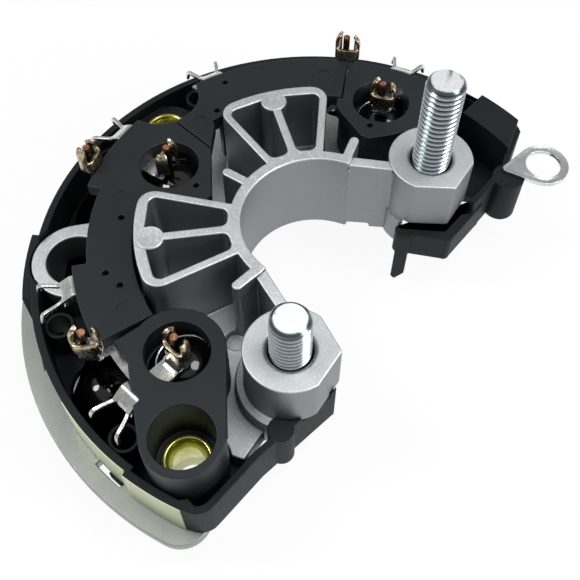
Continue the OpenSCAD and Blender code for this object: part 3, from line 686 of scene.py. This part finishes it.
def addRing(s):
    ring = copyNode("ringTerminal", "ring_terminal")
    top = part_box("ring_terminal")[1][2] / mm
    toEdit(ring)
    bpy.ops.mesh.select_all(action="SELECT")
    bpy.ops.mesh.dissolve_limited(angle_limit=math.radians(s["flat"]))
    selectFaces(ring, lambda m, n: isAt(top, m) and n.z > 0)
    bpy.ops.mesh.inset(thickness=s["rim"] * mm, depth=-s["sink"] * mm)
    toObject()
    breakEdges(ring, s["edge"], s["edgeSteps"], s["edgeAngle"])
    finishPiece(ring, "ring_terminal", made["ring"], s["smooth"])


addRing(ringSet)


# cast and moulded parts: the CAD shape with its edges broken
reflectionBandSet = {
    "foot": 3.1,
    "top": 13.8,
    "bands": ((60.02, 158.0, 176.3, 28), (60.92, 176.6, 188.6, 18)),  # inner radius, two turns, steps
    "thick": 0.18,
}
padSet = {
    "places": ((33.7, 131.0), (33.7, 49.0)),
    "disc": [(0.0, 9.2), (2.85, 9.2), (2.85, 25.75), (2.78, 25.95), (2.64, 26.02), (2.58, 26.07),
             (2.50, 26.07), (2.44, 26.02), (0.0, 26.02)],
    "steps": 48,
}
armSet = {
    "plan": [(-18.0, 3.1), (-15.45, 2.5), (-19.9, -6.1), (-21.6, -4.2)],  # left arm, from ring to boss
    "foot": 23.0,
    "rise": (2.4, 2.05),  # at the ring and at the boss
    "edge": 0.3,
    "edgeSteps": 2,
    "edgeAngle": 35.0,
}
shadeSleeveSet = {  # painted shade: a dark sleeve hides the casting's floor below a window
    "wall": [(6.5, 9.05), (7.9, 9.05), (7.9, 18.3), (7.2, 18.3), (7.2, 15.2), (6.5, 15.2)],
    "steps": 64,
}
brokenSet = {  # what the broken pieces share
    "weld": 0.12,  # closes slivers in the CAD mesh
    "flat": 0.5,  # faces that meet at less than this become one
    "sharp": 35.0,  # edges sharper than this are broken
    "shallow": 0.3,  # but not on a step lower than this
    "wallTilt": 0.1,  # most rise of a wall's normal
    "steps": 2,
    "evenBy": 0.5,  # for a rounded corner
    "evenTimes": 12,
    "smooth": 40.0,
}
blockSet = {"edge": 0.25, "slot": "block_plastic", "finish": "block"}
edgeSet = {
    "positive_heat_sink": {
        "name": "heatSink", "edge": 0.35, "slot": "cast_aluminium", "finish": "casting",
        "above": 5.2,  # the underside's edges stay sharp
        "pads": padSet, "arms": armSet,
    },
    "carrier_base": {
        "name": "carrier", "edge": 0.2, "slot": "carrier_plastic", "finish": "carrier",
        "corner": (-55.8, -9.6),  # evened out beyond this x and y
    },
    "negative_plate": {
        "name": "plate", "edge": 0.25, "slot": "plate_aluminium", "finish": "plate",
        "facing": reflectionBandSet,
    },
    "terminal_block_1": {"name": "blockLeft", **blockSet, "shadeSleeve": {**shadeSleeveSet, "place": positivePlaces[0]}},
    "terminal_block_2": {"name": "blockRear", **blockSet, "shadeSleeve": {**shadeSleeveSet, "place": positivePlaces[1]}},
    "terminal_block_3": {"name": "blockFar", **blockSet},
    "terminal_block_4": {"name": "blockRight", **blockSet, "shadeSleeve": {**shadeSleeveSet, "place": positivePlaces[2]}},
}


def addReflectionBand(s):  # thin metal band on the skirt's outer wall; its pale tint is a painted reflection
    bands = []
    for inner, first, last, steps in s["bands"]:
        outer = inner + s["thick"]
        corners = [(inner, s["foot"]), (outer, s["foot"]), (outer, s["top"]), (inner, s["top"])]
        band = drawLoop("facing", [(*polar(r, first).xy, z) for r, z in corners])
        bpy.ops.mesh.edge_face_add()
        bpy.ops.mesh.spin(steps=steps, angle=math.radians(first - last), center=origin, axis=upward)
        toObject()
        tidyMesh(band)
        bands.append(band)
    return bands


def addPads(s):  # round marks on the loops' pads
    return [spinProfile("pad", s["disc"], s["steps"], polar(*place) * mm) for place in s["places"]]


def addArms(s):  # the tops of the two arms between ring and bosses
    arms = []
    ringRise, bossRise = s["rise"]
    for side in (1, -1):
        arm = drawLoop("arm", [(x * side, y, s["foot"]) for x, y in s["plan"]])
        bpy.ops.mesh.edge_face_add()
        extrude((0, 0, ringRise))
        selectEdges(arm, lambda a, b: isAt(s["foot"] + ringRise, a, b) and max(a.y, b.y) < 0)
        bpy.ops.transform.translate(value=(0, 0, (bossRise - ringRise) * mm))
        toObject()
        tidyMesh(arm)
        breakEdges(arm, s["edge"], s["edgeSteps"], s["edgeAngle"])
        arms.append(arm)
    return arms


# painted shade: a dark sleeve of block plastic where the window is in shade
def addShadeSleeve(s):
    return [spinProfile("shadeSleeve", s["wall"], s["steps"], polar(*s["place"]) * mm)]


def smoothCorner(obj, x, y, shared):  # evens out the rounded corner beyond x and y
    selectEdges(obj, lambda a, b: max(a.x, b.x) < x and max(a.y, b.y) < y)
    bpy.ops.mesh.vertices_smooth(factor=shared["evenBy"], repeat=shared["evenTimes"], zaxis=False)


def isShallow(edge, shared):  # an edge of a step too low to be broken
    walls = [f for f in edge.link_faces if abs(f.normal.z) < shared["wallTilt"]]
    heights = [max(v.co.z for v in f.verts) - min(v.co.z for v in f.verts) for f in walls]
    return any(h < shared["shallow"] * mm for h in heights)


def markEdges(obj, s, shared):  # a bevel weight for each edge that is to be broken
    mesh = bmesh.from_edit_mesh(obj.data)
    weight = mesh.edges.layers.float.new("bevel_weight_edge")
    for edge in mesh.edges:
        if len(edge.link_faces) == 2 and edge.calc_face_angle(0.0) > math.radians(shared["sharp"]):
            isUnder = "above" in s and max(v.co.z for v in edge.verts) < s["above"] * mm
            edge[weight] = 0.0 if isUnder or isShallow(edge, shared) else 1.0
    bmesh.update_edit_mesh(obj.data)


def addBroken(node, s, shared):
    piece = copyNode(s["name"], node, shared["weld"])
    toEdit(piece)
    bpy.ops.mesh.select_all(action="SELECT")
    bpy.ops.mesh.dissolve_limited(angle_limit=math.radians(shared["flat"]))
    if "corner" in s:
        smoothCorner(piece, *s["corner"], shared)
    markEdges(piece, s, shared)
    toObject()
    applyModifier(piece, "BEVEL", width=s["edge"] * mm, segments=shared["steps"], limit_method="WEIGHT",
                  use_clamp_overlap=False)
    extras = {"facing": addReflectionBand, "pads": addPads, "arms": addArms, "shadeSleeve": addShadeSleeve}
    for key, addExtra in extras.items():
        if key in s:
            joinPieces(piece, addExtra(s[key]))
    finishPiece(piece, node, made[s["finish"]], shared["smooth"])
    piece.data.transform(Matrix.Scale(1 / mm, 4))  # made large, because the modifier skips tiny faces
    applyModifier(piece, "WEIGHTED_NORMAL", keep_sharp=True)
    piece.data.transform(Matrix.Scale(mm, 4))


for node, s in edgeSet.items():
    addBroken(node, s, brokenSet)


# positive diodes: a taller rim and a domed seal over the CAD cup
diodeSet = {
    "shift": (1.4, -0.4, 0.0),
    "wall": [(6.3, 9.05), (6.3, 15.7), (6.2, 16.1), (6.0, 16.25), (5.78, 16.15), (5.66, 15.8), (5.66, 9.05)],
    "dome": [(5.66, 14.6), (5.66, 15.7), (5.3, 16.25), (4.6, 16.85), (3.7, 17.4), (2.7, 17.85),
             (1.6, 18.12), (0.7, 18.22), (0.0, 18.24), (0.0, 14.6)],
    "cover": (1.0, 1.115, 1.0),  # the rear one's seal runs out over its rim
    "steps": 64,
    "cupSmooth": 40.0,
    "sealSmooth": 50.0,
}


def addDiode(s, i):
    place = (polar(*positivePlaces[i - 1]) + Vector(s["shift"])) * mm
    cover = s["cover"][i - 1]
    cup = copyNode(f"diodeCup{i}", f"positive_diode_cup_{i}")
    joinPieces(cup, [spinProfile("rim", s["wall"], s["steps"], place)])
    finishPiece(cup, f"positive_diode_cup_{i}", made["cup"], s["cupSmooth"])
    seal = spinProfile(f"diodeSeal{i}", [(r * cover, z) for r, z in s["dome"]], s["steps"], place)
    finishPiece(seal, f"positive_diode_seal_{i}", made["seal"], s["sealSmooth"])


for i in threes:
    addDiode(diodeSet, i)


# the other diode parts keep their CAD shapes
def dress(mat, *names):
    for name in names:
        slots = nodes[name].data.materials
        slots.clear()
        slots.append(mat)


dress(made["cup"], *[f"negative_diode_cup_{i}" for i in threes])
dress(made["seal"], *[f"negative_diode_seal_{i}" for i in threes])
dress(made["lead"], *[f"{side}_diode_lead_{i}" for side in ("positive", "negative") for i in threes])
print("diodes dressed")


# floor, world and lamps
stageSet = {
    "worldLight": 0.45,
    "floorSize": 30.0,  # metres
    "floorColour": (0.86, 0.86, 0.86),
    "floorRough": 0.9,
    "floorWhite": 0.92,
}
lampSet = {  # places and sizes in metres
    "side": {"place": (0.06, -0.48, 0.24), "size": 0.26, "power": 1.5},
    "top": {"place": (0.13, -0.15, 0.616), "size": 0.30, "power": 1.3},
    "rear": {"place": (-0.16, 0.32, 0.50), "size": 0.20, "power": 1.2},
}


def seenDirectly(tree):  # 1 for camera, glossy and transmission rays
    path = tree.nodes.new("ShaderNodeLightPath")
    seen = path.outputs["Is Camera Ray"]
    for ray in ("Is Glossy Ray", "Is Transmission Ray"):
        either = tree.nodes.new("ShaderNodeMath")
        either.operation = "MAXIMUM"
        tree.links.new(seen, either.inputs[0])
        tree.links.new(path.outputs[ray], either.inputs[1])
        seen = either.outputs[0]
    return seen


def addWorld(s):
    world = bpy.data.worlds.new("studio")
    scene.world = world
    world.use_nodes = True
    plain = world.node_tree.nodes["Background"]
    plain.inputs["Color"].default_value = (*white, 1.0)
    plain.inputs["Strength"].default_value = s["worldLight"]


def addFloor(s):
    deselect()
    bpy.ops.mesh.primitive_plane_add(size=s["floorSize"], location=(0, 0, cadBox[0][2]))
    floor = bpy.context.object
    floor.name = "floor"
    mat, tree, shader = newMaterial("floorPale")
    shader.inputs["Base Color"].default_value = (*s["floorColour"], 1.0)
    shader.inputs["Roughness"].default_value = s["floorRough"]
    glow = tree.nodes.new("ShaderNodeEmission")
    glow.inputs["Color"].default_value = (*white, 1.0)
    mix = tree.nodes.new("ShaderNodeMixShader")
    share = addRange(tree, seenDirectly(tree), (0.0, 1.0), (0.0, s["floorWhite"]))
    tree.links.new(share, mix.inputs["Fac"])
    tree.links.new(shader.outputs[0], mix.inputs[1])
    tree.links.new(glow.outputs[0], mix.inputs[2])
    tree.links.new(mix.outputs[0], tree.nodes["Material Output"].inputs["Surface"])
    floor.data.materials.append(mat)


def addLamps(lamps):
    for name, s in lamps.items():
        bpy.ops.object.light_add(type="AREA", location=s["place"])
        lamp = bpy.context.object
        lamp.name = name + "Lamp"
        lamp.data.shape = "DISK"
        lamp.data.size = s["size"]
        lamp.data.energy = s["power"]
        lamp.rotation_euler = Vector(s["place"]).to_track_quat("Z", "Y").to_euler()


addWorld(stageSet)
addFloor(stageSet)
addLamps(lampSet)
print("studio set")
